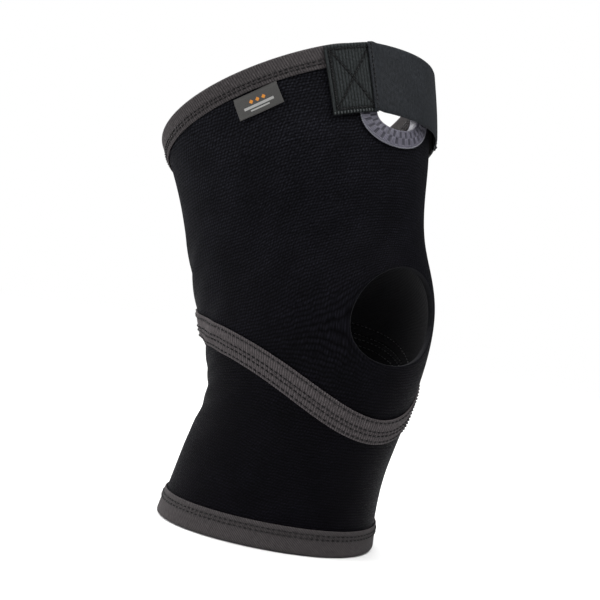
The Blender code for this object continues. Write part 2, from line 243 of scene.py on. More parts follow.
class Oval:
    """An oval on the sleeve, laid out in distances along the cloth from its centre."""

    def __init__(self, angle, height, half_width, half_height, tilt=0.0):
        self.angle = angle
        self.height = height
        self.size = (half_width, half_height)
        self.tilt = tilt
        by_angle, _ = slopes(np.array(angle), np.array(height))
        self.spread = float(np.linalg.norm(by_angle))

    def flat(self, angle, height):
        """Sideways and upward distance of a point from the centre."""
        return (angle - self.angle) * self.spread, height - self.height

    def unroll(self, side, up):
        """The angle and height at a sideways and upward distance from the centre."""
        return self.angle + side / self.spread, self.height + up

    def local(self, angle, height):
        side, up = self.flat(angle, height)
        x = side * math.cos(self.tilt) + up * math.sin(self.tilt)
        y = up * math.cos(self.tilt) - side * math.sin(self.tilt)
        return x, y

    def turn_of(self, angle, height):
        """The direction of a point from the centre, as the oval's own parameter."""
        x, y = self.local(angle, height)
        return np.arctan2(y / self.size[1], x / self.size[0])

    def edge(self, turn, grow=0.0):
        """Angle and height of the oval's edge, grown outward by a distance."""
        x = (self.size[0] + grow) * np.cos(turn)
        y = (self.size[1] + grow) * np.sin(turn)
        side = x * math.cos(self.tilt) - y * math.sin(self.tilt)
        up = x * math.sin(self.tilt) + y * math.cos(self.tilt)
        return self.unroll(side, up)


class Punch(Oval):
    """An oval cut straight through the wall, laid out in the plane that touches the sleeve at its centre."""

    def __init__(self, angle, height, half_width, half_height, tilt=0.0):
        super().__init__(angle, height, half_width, half_height, tilt)
        here = np.array(angle), np.array(height)
        self.centre = skin(*here)
        outward = unit(skin(*here, MM) - self.centre)
        self.side = unit(slopes(*here)[0])
        self.up = np.cross(outward, self.side)

    def flat(self, angle, height):
        away = skin(angle, height) - self.centre
        return away @ self.side, away @ self.up

    def unroll(self, side, up):
        angle = self.angle + side / self.spread
        height = self.height + up
        for _ in range(NEWTON_STEPS):
            x, y = self.flat(angle, height)
            by_angle, by_height = slopes(angle, height)
            a, b = by_angle @ self.side, by_height @ self.side
            c, d = by_angle @ self.up, by_height @ self.up
            miss_x, miss_y = side - x, up - y
            angle = angle + (d * miss_x - b * miss_y) / (a * d - b * c)
            height = height + (a * miss_y - c * miss_x) / (a * d - b * c)
        return angle, height

    def distance(self, angle, height):
        """Roughly how far a point of the front lies outside the oval; large behind."""
        x, y = self.local(angle, height)
        reach = np.hypot(x / self.size[0], y / self.size[1])
        outside = (reach - 1) * math.sqrt(self.size[0] * self.size[1])
        return np.where(np.cos(angle) > FRONT_ONLY, outside, 1.0)


NEWTON_STEPS = 6
FRONT_ONLY = 0.1
patella_angle = PATELLA_SIDE / float(np.linalg.norm(slopes(np.array(0.0), np.array(PATELLA_HEIGHT))[0]))
patella = Punch(patella_angle, PATELLA_HEIGHT, PATELLA_HALF_WIDTH, PATELLA_HALF_HEIGHT, PATELLA_TILT)
cut_width = EYELET_HALF_WIDTH + TAPE + EYELET_SLACK
cut_height = EYELET_HALF_HEIGHT + TAPE + EYELET_SLACK
eyelet_cut = Punch(EYELET_ANGLE, EYELET_HEIGHT, cut_width, cut_height)
eyelet = Oval(EYELET_ANGLE, EYELET_HEIGHT, EYELET_HALF_WIDTH, EYELET_HALF_HEIGHT)


# Folds of the worn cloth
FOLD_PITCH = 17 * MM
FOLD_SEED = 0.25 * MM
CREASE_PITCH = 3.6 * MM
SETTLE_COLUMNS = 96
SETTLE_ROWS = 64
SETTLE_FRAMES = 24
SETTLE_LIMIT = 1.7 * MM
SPARE_LENGTH = 8 * MM
FLEXED_FRAME = 14
PIN_LEAST = 0.5


def fade(value, low, high):
    """0 below low, 1 above high, smooth between."""
    t = np.clip((value - low) / (high - low), 0, 1)
    return t * t * (3 - 2 * t)


def free_share(height):
    """0 where the hems, the tabs and the eyelet hold the cloth, 1 between them."""
    return fade(height, 20 * MM, 45 * MM) * (1 - fade(height, 190 * MM, 212 * MM))


def small_waves(angle, height):
    """Slight unevenness of the whole tube, and faint folds behind the knee."""
    behind = (1 - np.cos(angle)) / 2
    fold_line = height - 100 * MM + 14 * MM * np.cos(2 * angle)
    folds = np.sin(2 * math.pi * fold_line / FOLD_PITCH + 1.4 * np.sin(2 * angle + 0.5))
    fold_band = np.exp(-(((height - 104 * MM) / (34 * MM)) ** 2))
    slow = np.sin(3 * angle + height / (31 * MM)) * np.sin(height / (23 * MM) + 1.1)
    return free_share(height) * (FOLD_SEED * behind**3 * fold_band * folds + 0.35 * MM * slow)


def settle():
    """Let the spare length of cloth behind the knee buckle into folds, by cloth simulation.

    Returns how far the cloth moves outward, over rows of height and columns of angle.
    """
    turns = np.arange(SETTLE_COLUMNS) * 2 * math.pi / SETTLE_COLUMNS - math.pi
    angle, height = np.meshgrid(turns, np.linspace(0, LENGTH, SETTLE_ROWS))
    worn = skin(angle, height, small_waves(angle, height))
    behind = (1 - np.cos(angle)) / 2
    spare = SPARE_LENGTH * behind**2 * fade(height, 20 * MM, 200 * MM)
    straighter = worn + unit(slopes(angle, height)[1]) * spare[..., None]
    tube = make_piece("settling", straighter, grid_quads(*angle.shape, wrap_columns=True), worn[..., :2], [])
    tube.shape_key_add(name="straighter")
    flexed = tube.shape_key_add(name="worn")
    flexed.data.foreach_set("co", worn.astype(np.float32).ravel())
    for number, value in ((1, 0), (FLEXED_FRAME, 1)):
        flexed.value = value
        flexed.keyframe_insert("value", frame=number)
    held = 1 - (1 - PIN_LEAST) * fade(behind, 0.25, 0.8) * free_share(height)
    pins = tube.vertex_groups.new(name="held")
    for index, weight in enumerate(held.ravel()):
        pins.add([index], weight, "REPLACE")
    simulation = tube.modifiers.new("cloth", "CLOTH")
    fabric = simulation.settings
    fabric.quality = 6
    fabric.mass = 0.3
    fabric.tension_stiffness = 20
    fabric.compression_stiffness = 20
    fabric.shear_stiffness = 8
    fabric.bending_stiffness = 200
    fabric.vertex_group_mass = "held"
    fabric.effector_weights.gravity = 0
    simulation.point_cache.frame_end = SETTLE_FRAMES
    for number in range(1, SETTLE_FRAMES + 1):
        bpy.context.scene.frame_set(number)
    settled = tube.evaluated_get(bpy.context.evaluated_depsgraph_get()).data
    moved = np.zeros(worn.size)
    settled.vertices.foreach_get("co", moved)
    outward = skin(angle, height, MM) - skin(angle, height)
    push = ((moved.reshape(worn.shape) - worn) * unit(outward)).sum(-1)
    bpy.data.objects.remove(tube, do_unlink=True)
    bpy.context.scene.frame_set(1)
    push = evened(evened(push))
    return SETTLE_LIMIT * np.tanh(push / SETTLE_LIMIT) * free_share(height)


def evened(table):
    """Each value averaged with its neighbours, which takes out the mesh's own zigzag; columns wrap."""
    across = (np.roll(table, 1, 1) + 2 * table + np.roll(table, -1, 1)) / 4
    padded = np.pad(across, ((1, 1), (0, 0)), "edge")
    return (padded[:-2] + 2 * padded[1:-1] + padded[2:]) / 4


def smooth_sample(table, row, column):
    """A table's value between its rows and columns, by Catmull-Rom splines; the columns wrap."""
    i = np.floor(row).astype(int)
    j = np.floor(column).astype(int)
    value = 0
    for di, row_weight in zip(range(-1, 3), catmull_rom(row - i)):
        for dj, column_weight in zip(range(-1, 3), catmull_rom(column - j)):
            near = table[np.clip(i + di, 0, len(table) - 1), (j + dj) % table.shape[1]]
            value = value + row_weight * column_weight * near
    return value


def catmull_rom(t):
    before = ((2 - t) * t - 1) * t / 2
    here = ((3 * t - 5) * t * t + 2) / 2
    there = ((4 - 3 * t) * t + 1) * t / 2
    return before, here, there, 1 - before - here - there


def relief(angle, height):
    """Folds and unevenness of the worn cloth, as an outward distance."""
    angle, height = np.broadcast_arrays(angle, height)
    below = patella.distance(angle, height)
    ripples = np.sin(2 * math.pi * below / CREASE_PITCH)
    under = fade(PATELLA_HEIGHT - height, 22 * MM, 30 * MM) * np.exp(-(((angle - 0.15) / 0.4) ** 2))
    front_creases = 0.14 * MM * ripples * under * np.exp(-((below / (14 * MM)) ** 2))
    rolled = 0.5 * MM * np.exp(-np.maximum(below, 0) / (5 * MM))
    total = small_waves(angle, height) + free_share(height) * (front_creases + rolled)
    if len(SETTLED):
        row = np.clip(height / LENGTH, 0, 1) * (SETTLE_ROWS - 1)
        column = (angle + math.pi) / (2 * math.pi) * SETTLE_COLUMNS
        total = total + smooth_sample(SETTLED, row, column)
    return total


def cloth(angle, height, out=0.0):
    """Points of the worn sleeve."""
    return skin(angle, height, out + relief(angle, height))


# Meshes


def grid_quads(rows, columns, wrap_rows=False, wrap_columns=False):
    """Corner indices of a grid's quads, facing out where columns run in angle and rows in height."""
    i = np.arange(rows if wrap_rows else rows - 1)[:, None]
    j = np.arange(columns if wrap_columns else columns - 1)[None, :]
    up = (i + 1) % rows
    right = (j + 1) % columns
    here, above = i * columns, up * columns
    corners = np.broadcast_arrays(here + j, here + right, above + right, above + j)
    return np.stack(corners, -1).reshape(-1, 4)


def make_piece(name, points, faces, uv, materials, face_material=None, period=None):
    """A mesh object; uv is in millimetres, and period is the distance after which u starts again."""
    mesh = bpy.data.meshes.new(name)
    mesh.from_pydata(points.reshape(-1, 3).tolist(), [], [list(map(int, face)) for face in faces])
    for material in materials:
        mesh.materials.append(material)
    if face_material is not None:
        mesh.polygons.foreach_set("material_index", np.asarray(face_material, np.int32))
    corner = np.zeros(len(mesh.loops), np.int32)
    mesh.loops.foreach_get("vertex_index", corner)
    spots = uv.reshape(-1, 2)[corner]
    if period:
        sizes = np.zeros(len(mesh.polygons), np.int32)
        starts = np.zeros(len(mesh.polygons), np.int32)
        mesh.polygons.foreach_get("loop_total", sizes)
        mesh.polygons.foreach_get("loop_start", starts)
        first = np.repeat(spots[starts, 0], sizes)
        spots[:, 0] += period * np.round((first - spots[:, 0]) / period)
    layer = mesh.uv_layers.new(name="cloth_mm")
    layer.data.foreach_set("uv", spots.astype(np.float32).ravel())
    mesh.shade_smooth()
    mesh.update()
    made = bpy.data.objects.new(name, mesh)
    bpy.context.scene.collection.objects.link(made)
    return made


def set_share(obj, name, values):
    """A number for each vertex that the material reads."""
    attribute = obj.data.attributes.new(name, "FLOAT", "POINT")
    attribute.data.foreach_set("value", np.asarray(values, np.float32).ravel())


SETTLED = settle()


# Materials


class Value:
    """A node's output that can stand in a sum or a comparison."""

    def __init__(self, tree, socket):
        self.tree = tree
        self.socket = socket

    def __add__(self, other):
        return calc(self.tree, "ADD", self, other)

    def __sub__(self, other):
        return calc(self.tree, "SUBTRACT", self, other)

    def __rsub__(self, other):
        return calc(self.tree, "SUBTRACT", other, self)

    def __mul__(self, other):
        return calc(self.tree, "MULTIPLY", self, other)

    def __lt__(self, other):
        return calc(self.tree, "LESS_THAN", self, other)

    def __abs__(self):
        return calc(self.tree, "ABSOLUTE", self)


def feed(socket, value):
    """Set a node's input to a value, or link it to another node's output."""
    value = value.socket if isinstance(value, Value) else value
    if isinstance(value, bpy.types.NodeSocket):
        socket.id_data.links.new(value, socket)
    else:
        socket.default_value = value


def add_node(tree, kind, **settings):
    """A new shader node; settings in small letters are its properties and the others its inputs."""
    made = tree.nodes.new("ShaderNode" + kind)
    for name, value in settings.items():
        if name.islower():
            setattr(made, name, value)
        else:
            feed(made.inputs[name.replace("_", " ")], value)
    return made


def calc(tree, operation, *values):
    made = add_node(tree, "Math", operation=operation)
    for socket, value in zip(made.inputs, values):
        feed(socket, value)
    return Value(tree, made.outputs[0])


def principled(name, settings):
    """A new material, its node tree and its Principled BSDF, with some of the inputs set."""
    material = bpy.data.materials.new(name)
    material.use_nodes = True
    surface = material.node_tree.nodes["Principled BSDF"]
    for setting, value in settings.items():
        feed(surface.inputs[setting], value)
    return material, material.node_tree, surface


class Shader:
    """A Principled material and short calls for the nodes of its pattern, laid out in millimetres."""

    def __init__(self, name, roughness, specular, sheen=0.0, sheen_tint=(1, 1, 1)):
        settings = {
            "Roughness": roughness,
            "Specular IOR Level": specular,
            "Sheen Weight": sheen,
            "Sheen Roughness": 0.35,
            "Sheen Tint": (*sheen_tint, 1),
        }
        self.material, self.tree, self.surface = principled(name, settings)
        self.place = add_node(self.tree, "UVMap", uv_map="cloth_mm").outputs["UV"]
        split = add_node(self.tree, "SeparateXYZ", Vector=self.place)
        self.u = Value(self.tree, split.outputs["X"])
        self.v = Value(self.tree, split.outputs["Y"])

    def wave(self, distance, pitch, sharp=1.0):
        """Rounded ridges, 0 in the grooves and 1 on the crests, one each pitch."""
        ridge = abs(calc(self.tree, "SINE", distance * (math.pi / pitch)))
        return calc(self.tree, "POWER", ridge, sharp)

    def spread(self, value, low, high):
        """Stretch values so that low becomes 0 and high becomes 1."""
        made = add_node(self.tree, "MapRange", Value=value, From_Min=low, From_Max=high)
        return Value(self.tree, made.outputs["Result"])

    def noise(self, scale, detail=2.0, stretch=(1, 1, 1)):
        """Cloudy values about 0.5, scale in repeats for each millimetre."""
        mapping = add_node(self.tree, "Mapping", Scale=stretch, Vector=self.place)
        made = add_node(self.tree, "TexNoise", Scale=scale, Detail=detail, Vector=mapping.outputs[0])
        return Value(self.tree, made.outputs["Fac"])

    def share(self, name):
        return Value(self.tree, add_node(self.tree, "Attribute", attribute_name=name).outputs["Fac"])

    def mix(self, share, first, second):
        made = add_node(self.tree, "Mix", data_type="RGBA", Factor=share)
        colours = [socket for socket in made.inputs if socket.type == "RGBA"]
        for socket, value in zip(colours, (first, second)):
            feed(socket, (*value, 1) if isinstance(value, tuple) else value)
        return [socket for socket in made.outputs if socket.type == "RGBA"][0]

    def finish(self, colour, height, depth, roughness=None):
        """The material, with its colour and with a bump of some depth where height is high."""
        feed(self.surface.inputs["Base Color"], colour)
        if roughness is not None:
            feed(self.surface.inputs["Roughness"], roughness)
        bump = add_node(self.tree, "Bump", Distance=depth, Strength=1, Height=height)
        feed(self.surface.inputs["Normal"], bump.outputs[0])
        return self.material


def shade(colour, by):
    return tuple(c * by for c in colour)


def knit_material():
    """Black nylon jersey on the outside of the foam: fine wales, and rows crossed by a slanted twill.

    Its colour is painted lighter towards the thigh and darker towards the calf, as painted light from above.
    """
    black = (0.0026, 0.0024, 0.0038)
    painted_lit_black = (0.0034, 0.0035, 0.0046)
    s = Shader("knit_face", 0.6, 0.024, sheen=0.003, sheen_tint=(0.75, 0.75, 1.0))
    wobble = s.noise(0.16) * 2.2
    wale = s.wave(s.u, 1.05)
    rows = s.wave(s.v + wobble, 1.8)
    twill = s.wave(s.u * 0.88 - s.v * 0.47 + wobble, 1.75)
    yarn = s.spread(s.noise(0.9, stretch=(1, 0.7, 1)), 0.34, 0.66)
    cloud = s.spread(s.noise(0.05), 0.35, 0.65)
    grain = rows * twill * 0.55 + rows * 0.27 + twill * 0.17
    # painted light from above: towards the thigh the knit's colour turns to the painted lit black
    thigh = s.spread(s.v, 90, 250)
    dim = s.mix(thigh, shade(black, 1.5), shade(painted_lit_black, 4.0))
    bright = s.mix(thigh, shade(black, 2.3), shade(painted_lit_black, 5.8))
    colour = s.mix(grain * (yarn * 0.75 + 0.25), shade(black, 0.1), s.mix(cloud, dim, bright))
    return s.finish(colour, wale * 0.35 + grain + yarn * 0.5, 0.22 * MM, yarn * 0.25 + 0.5)


def lining_material():
    """Brushed loop lining on the inside."""
    s = Shader("lining", 0.95, 0.03, sheen=0.03)
    loops = s.noise(1.1, 3)
    colour = s.mix(loops, (0.006, 0.006, 0.007), (0.021, 0.021, 0.023))
    return s.finish(colour, s.wave(s.v, 1.7) * 0.4 + loops, 0.35 * MM)


def foam_material():
    """The cut edge of the foam core."""
    s = Shader("foam_edge", 0.9, 0.05)
    cells = s.noise(3.0, 1)
    return s.finish(s.mix(cells, (0.004, 0.004, 0.005), (0.016, 0.016, 0.018)), cells, 0.2 * MM)


def tape_material(name, base):
    """Heathered grey elastic with ribs across it; painted shade darkens the rib grooves and the dents of the
    stitch rows; u runs along it.
    """
    s = Shader(name, 0.78, 0.08, sheen=0.015)
    heather = s.spread(s.noise(1.2, 3, (1, 0.35, 1)), 0.32, 0.68)
    groove = 1.0 - s.wave(s.u, RIB_PITCH / MM, 0.6)
    yarn = s.wave(s.v, 0.62)
    light = s.mix(heather, shade(base, 0.7), shade(base, 1.75))
    tinted = s.mix(s.noise(0.05), light, s.mix(0.5, light, shade(base, 1.25)))
    # painted shade: darker in the grooves between the ribs
    colour = s.mix(groove * 0.85 + (1.0 - yarn) * 0.25, tinted, shade(base, 0.15))
    # painted shade: darker in the stitch rows' dents
    colour = s.mix(s.share("dent"), colour, shade(base, 0.15))
    return s.finish(colour, yarn * 0.5 + heather, 0.12 * MM)


def webbing_material():
    """Smooth black elastic of the pull strap, with a fine slanted twill."""
    base = (0.0155, 0.0172, 0.0197)
    s = Shader("strap_weave", 0.65, 0.08, sheen=0.01)
    twill = s.wave(s.u + s.v * 0.75, 1.15)
    pick = s.wave(s.v, 0.6)
    fuzz = s.spread(s.noise(0.9, 3, (1, 0.5, 1)), 0.32, 0.68)
    cloud = s.spread(s.noise(0.06), 0.35, 0.65)
    light = s.mix(cloud, shade(base, 1.45), shade(base, 1.75))
    colour = s.mix(twill * 0.45 + fuzz * 0.5, shade(base, 0.3), light)
    return s.finish(colour, twill * 0.6 + pick * 0.3 + fuzz, 0.14 * MM)


def ribbed_material():
    """Ribbed end of the strap; the ribs themselves are in the mesh, with painted shade in their valleys and
    along the pressed stitch lines.
    """
    base = (0.0115, 0.0135, 0.014)
    s = Shader("ribbed_tab", 0.68, 0.1, sheen=0.01)
    yarn = s.wave(s.v, 0.8)
    fuzz = s.noise(1.6, 2, (1, 0.4, 1))
    light = s.mix(s.spread(fuzz, 0.35, 0.65), shade(base, 0.9), shade(base, 2.4))
    dark = s.mix(yarn, shade(base, 0.05), shade(base, 0.2))
    # painted shade: dark where the crest share is low, in the rib valleys and the pressed stitch lines
    return s.finish(s.mix(s.share("crest"), dark, light), yarn + fuzz, 0.12 * MM)


def thread_material(name, base, shine):
    """Twisted sewing thread; u runs along it."""
    s = Shader(name, 0.5, shine, sheen=0.05)
    ply = s.wave(s.u + s.v * 0.5, 0.34)
    light = s.mix(s.noise(0.4, 1), shade(base, 0.85), shade(base, 1.3))
    return s.finish(s.mix(ply, shade(base, 0.45), light), ply, 0.08 * MM)


def satin_material():
    """Lavender-grey embroidery over the eyelet's edge, with painted sheen streaks and painted shade between
    its stitches.
    """
    base = (0.112, 0.108, 0.137)
    s = Shader("eyelet_satin", 0.45, 0.2, sheen=0.02, sheen_tint=(0.9, 0.88, 1))
    # painted sheen: lighter streaks along the satin stitches
    gloss = s.noise(0.9, 2, (0.35, 1, 1))
    light = s.mix(gloss, shade(base, 0.8), shade(base, 1.55))
    # painted shade: darker between the crests of the satin stitches
    colour = s.mix(s.share("crest"), shade(base, 0.35), light)
    return s.finish(s.mix(s.share("slot"), colour, (0.042, 0.041, 0.053)), gloss, 0.08 * MM)


def label_material():
    """Woven satin label with a plain motif: a row of small diamonds above two bars."""
    grey = (0.078, 0.0765, 0.074)
    s = Shader("label_weave", 0.55, 0.15, sheen=0.01)
    threads = s.wave(s.v, 0.42) * 0.6 + s.wave(s.u, 0.5) * 0.4
    colour = s.mix(threads * s.noise(2.2), shade(grey, 0.4), shade(grey, 1.2))
    column = abs(calc(s.tree, "WRAP", s.u, -2.0, 2.0))
    centre = abs(s.u)
    diamonds = (column + abs(s.v - 8.0) < 1.35) * (centre < 6.0)
    colour = s.mix(diamonds, colour, s.mix(threads, (0.3, 0.1, 0.012), (0.62, 0.25, 0.035)))
    for place, thickness, reach in ((5.0, 0.75, 9.5), (3.0, 0.45, 6.0)):
        bar = (abs(s.v - place) < thickness) * (centre < reach)
        colour = s.mix(bar, colour, s.mix(threads, (0.16, 0.16, 0.155), (0.38, 0.38, 0.37)))
    return s.finish(colour, threads, 0.1 * MM)


KNIT = knit_material()
LINING = lining_material()
FOAM = foam_material()
BINDING = tape_material("hem_binding", (0.046, 0.0414, 0.0425))
SEAM_GREY = tape_material("seam_tape_grey", (0.062, 0.055, 0.057))
WEBBING = webbing_material()
RIBBED = ribbed_material()
DARK_THREAD = thread_material("dark_thread", (0.009, 0.0083, 0.009), 0.15)
GREY_THREAD = thread_material("grey_thread", (0.045, 0.046, 0.05), 0.3)
EDGE_THREAD = thread_material("edge_thread", (0.07, 0.078, 0.08), 0.3)
RIM_THREAD = thread_material("rim_thread", (0.17, 0.17, 0.2), 0.4)
SATIN = satin_material()
LABEL = label_material()


# Sleeve panels


def cross(angle, half_gap):
    """Distance from the centre back, along the cloth."""
    return (math.pi - abs(angle)) * GIRTH_RADIUS - half_gap


def back_groove(angle):
    """The butted panel edges make a shallow valley at the centre back."""
    return -1.0 * MM * np.exp(-((cross(angle, 0) / (1.1 * MM)) ** 2))


def panel_columns(count):
    """Angles once round from the centre back, closer together beside the back seam."""
    close = np.array([0, 0.5, 1.0, 1.6, 2.5]) * MM / GIRTH_RADIUS
    wide = np.linspace(close[-1], 2 * math.pi - close[-1], count)[1:-1]
    turns = np.concatenate([close, wide, 2 * math.pi - close[:0:-1]])
    return turns - math.pi


WINDOW_MARGIN = 9 * MM
WINDOW_RINGS = 7
LIP_STEPS = 6
LIP_RADIUS = 0.9 * MM


def window(oval, angles, heights):
    """The block of grid cells to leave out round an oval, as first and last column and row."""
    side, up = oval.flat(np.broadcast_to(angles, heights.shape), heights)
    near = (abs(side) <= oval.size[0] + WINDOW_MARGIN) & (abs(up) <= oval.size[1] + WINDOW_MARGIN)
    rows, columns = np.where(near & (np.cos(angles) > FRONT_ONLY))
    return columns.min(), columns.max(), rows.min(), rows.max()


def block_border(block, columns):
    """Grid indices round a block, counter-clockwise seen from outside."""
    left, right, low, high = block
    bottom = [low * columns + j for j in range(left, right)]
    far = [i * columns + right for i in range(low, high)]
    top = [high * columns + j for j in range(right, left, -1)]
    near = [i * columns + left for i in range(high, low, -1)]
    return np.array(bottom + far + top + near)


def ring_quads(before, here):
    """Quads between two closed rings of vertex indices."""
    return np.stack([before, np.roll(before, -1), np.roll(here, -1), here], -1)


def panel(name, low, high, columns, rows, ovals=()):
    """A foam panel once round the leg: outer knit, cut edges, lining, and rounded lips at its ovals."""
    angles = panel_columns(columns)
    count = len(angles)
    heights = low(angles) + (high(angles) - low(angles)) * np.linspace(0, 1, rows)[:, None]
    sheet_angle = [np.broadcast_to(angles, heights.shape).ravel()]
    sheet_height = [heights.ravel()]
    quads = grid_quads(rows, count, wrap_columns=True)
    row_of, column_of = np.divmod(quads[:, 0], count)
    keep = np.ones(len(quads), bool)
    faces = []
    size = heights.size
    lips = []
    for oval in ovals:
        left, right, bottom, top = block = window(oval, angles, heights)
        keep &= (column_of < left) | (column_of >= right) | (row_of < bottom) | (row_of >= top)
        before = block_border(block, count)
        start_angle, start_height = sheet_angle[0][before], sheet_height[0][before]
        turn = oval.turn_of(start_angle, start_height)
        edge_angle, edge_height = oval.edge(turn, LIP_RADIUS)
        for step in range(1, WINDOW_RINGS + 1):
            t = 1 - (1 - step / WINDOW_RINGS) ** 1.3
            here = size + np.arange(len(turn))
            sheet_angle.append(start_angle * (1 - t) + edge_angle * t)
            sheet_height.append(start_height * (1 - t) + edge_height * t)
            faces.append(ring_quads(before, here))
            before = here
            size += len(turn)
        lips.append((oval, turn, before))
    angle = np.concatenate(sheet_angle)
    outer = np.concatenate([quads[keep]] + faces)
    groove = back_groove(angle)
    all_angle = [angle, angle]
    all_height = 2 * [np.concatenate(sheet_height)]
    all_out = [groove, np.full(size, -WALL) - groove * 0.5]
    bottom = np.arange(count)
    next_bottom = np.roll(bottom, -1)
    top = (rows - 1) * count + bottom
    parts = [outer, outer[:, ::-1] + size]
    parts.append(np.stack([bottom, bottom + size, next_bottom + size, next_bottom], -1))
    parts.append(ring_quads(top, top + size))
    kinds = [np.full(len(outer), 0), np.full(len(outer), 1), np.full(2 * count, 2)]
    total = 2 * size
    for oval, turn, before in lips:
        inner_edge = before + size
        for step in range(1, LIP_STEPS + 1):
            here = inner_edge
            if step < LIP_STEPS:
                phase = math.pi * step / LIP_STEPS
                lip_angle, lip_height = oval.edge(turn, LIP_RADIUS * (1 - math.sin(phase) ** 0.8))
                here = total + np.arange(len(turn))
                all_angle.append(lip_angle)
                all_height.append(lip_height)
                all_out.append(np.full(len(turn), -WALL * (1 - math.cos(phase)) / 2))
                total += len(turn)
            parts.append(ring_quads(before, here))
            kinds.append(np.full(len(turn), 0 if step == 1 else 2))
            before = here
    angle = np.concatenate(all_angle)
    height = np.concatenate(all_height)
    points = cloth(angle, height, np.concatenate(all_out))
    period = 2 * math.pi * GIRTH_RADIUS / MM
    looks = [KNIT, LINING, FOAM]
    uv = knit_uv(angle, height)
    return make_piece(name, points, np.concatenate(parts), uv, looks, np.concatenate(kinds), period)


def knit_uv(angle, height):
    """Across and along the knit in millimetres; its rows and wales bow round the patella opening."""
    x, y = patella.local(angle, height)
    square = np.maximum((x / patella.size[0]) ** 2 + (y / patella.size[1]) ** 2, 1)
    bowed = fade(np.cos(angle), FRONT_ONLY, 0.6) / square
    across_knit = angle * GIRTH_RADIUS - 0.2 * x * bowed
    along_knit = height - 0.75 * y * bowed
    return np.stack([across_knit, along_knit], -1) / MM


# Tapes and bindings


def run_along(points):
    """How far along a line of points each one lies."""
    return np.concatenate([[0], np.cumsum(np.linalg.norm(np.diff(points, axis=0), axis=1))])


def ring_run(height_at):
    """Angles once round a line on the sleeve, and how far along the line each lies."""
    angles = np.linspace(-math.pi, math.pi, 4001)
    return angles, run_along(skin(angles, height_at(angles)))


def ribs(phase):
    """A rib's rounded crest, one each whole phase."""
    return abs(np.sin(math.pi * phase)) ** 0.7


RIB_SAMPLES = 4


def ribbed_ring(name, profile, height_of, rows, material, slant=0.0):
    """A tape round the sleeve with ribs across its outer face, slanted by a share of the distance across.

    profile is a closed list of (distance across the tape, offset outward, rib share), listed so that
    faces point out; height_of turns an angle and a distance across into a height.
    """
    across, out, ribbed = profile.T
    turns, run = ring_run(lambda a: height_of(a, 0.0))
    count = round(run[-1] / RIB_PITCH)
    phase = np.arange(count * RIB_SAMPLES) / RIB_SAMPLES
    angles = np.interp(phase / count * run[-1], run, turns)
    a = np.broadcast_to(angles, (len(profile), len(angles)))
    heights = np.stack([height_of(angles, d) for d in across])
    near = np.min([abs(across - row) for row in rows], axis=0)
    dent = np.exp(-((near / (0.55 * MM)) ** 2))[:, None] * np.ones_like(a)
    pucker = 0.5 + 0.5 * np.cos(2 * math.pi * phase * RIB_PITCH / STITCH_PITCH)
    crest = ribs(phase[None, :] + slant * across[:, None] / RIB_PITCH)
    offset = out[:, None] + ribbed[:, None] * RIB_HEIGHT * (crest - 1)
    offset = offset - abs(ribbed[:, None]) * dent * (0.16 * MM + 0.1 * MM * pucker[None, :])
    points = cloth(a, heights, offset)
    u = (phase[None, :] * RIB_PITCH + slant * across[:, None]) / MM
    v = np.broadcast_to(across[:, None] / MM, a.shape)
    faces = grid_quads(len(profile), len(angles), wrap_rows=True, wrap_columns=True)
    made = make_piece(name, points, faces, np.stack([u, v], -1), [material], period=count * RIB_PITCH / MM)
    # painted shade: the dent share darkens the tape's colour in the stitch rows' dents
    set_share(made, "dent", dent * abs(ribbed[:, None]) * 0.3)
    return made


def binding_profile(width, rise):
    """A tape folded over an edge; rise is +1 where the edge is the tape's lower side and -1 where upper."""
    outer, inner = TAPE_OUTER, TAPE_INNER
    middle = (outer + inner) / 2
    radius = (outer - inner) / 2
    free = [(width, GAP + 0.15 * MM, 0.0), (width + 0.12 * MM, (GAP + outer) / 2, 0.5)]
    face = [(d, outer, 1.0) for d in np.linspace(width - 0.3 * MM, radius * 0.55, 22)]
    fold = []
    for turn in np.linspace(0, math.pi, 9)[1:-1]:
        distance = radius * 0.55 * (1 - math.sin(turn) ** 0.8)
        fold.append((distance, middle + radius * math.cos(turn), 1.0))
    back = [(d, inner, 0.8) for d in np.linspace(radius * 0.55, width - 0.3 * MM, 9)]
    inner_face = inner + TAPE
    under = [(width, inner + TAPE * 0.4, 0.0), (width - 0.3 * MM, inner_face, 0.0)]
    under += [(d, inner_face, 0.0) for d in np.linspace(width * 0.66, 2.0 * MM, 3)]
    under += [(d, GAP, 0.0) for d in np.linspace(2.0 * MM, width * 0.8, 4)]
    profile = np.array(free + face + fold + back + under)
    profile[:, 0] *= rise
    return profile if rise < 0 else profile[::-1]


def hem_line(edge, width, share):
    """Height of a stitch row of a binding, from the height of its edge and its signed width."""
    return lambda angle: edge(angle) + width * (1 - share)


def hem_binding(hem, edge, width, slant):
    rows = [width * (1 - share) for share in BINDING_ROWS]
    profile = binding_profile(abs(width), math.copysign(1, width))
    return ribbed_ring(f"hem_binding_{hem}", profile, lambda a, d: edge(a) + d, rows, BINDING, slant)


def seam_tape():
    half = SEAM_TAPE_WIDTH / 2
    top = [(d, TAPE_OUTER - 0.3 * MM * (abs(d) / half) ** 8, 1.0) for d in np.linspace(half, -half, 30)]
    under = [(d, GAP * 0.5, 0.0) for d in np.linspace(-half, half, 7)]
    profile = np.array(top + under)
    rows = [half * share for share in SEAM_ROWS]
    return ribbed_ring("seam_tape_cloth", profile, beside_seam, rows, SEAM_GREY)


# Threads

THREAD_SIDES = 6
ROW_THREAD_RADIUS = 0.42 * MM
STITCH_FILL = 0.66
SUNK = 0.12 * MM
ARCH = np.array([-0.35, 0.2, 0.38, 0.2, -0.35]) * MM
TAPER = np.array([0.55, 1.0, 1.05, 1.0, 0.55])


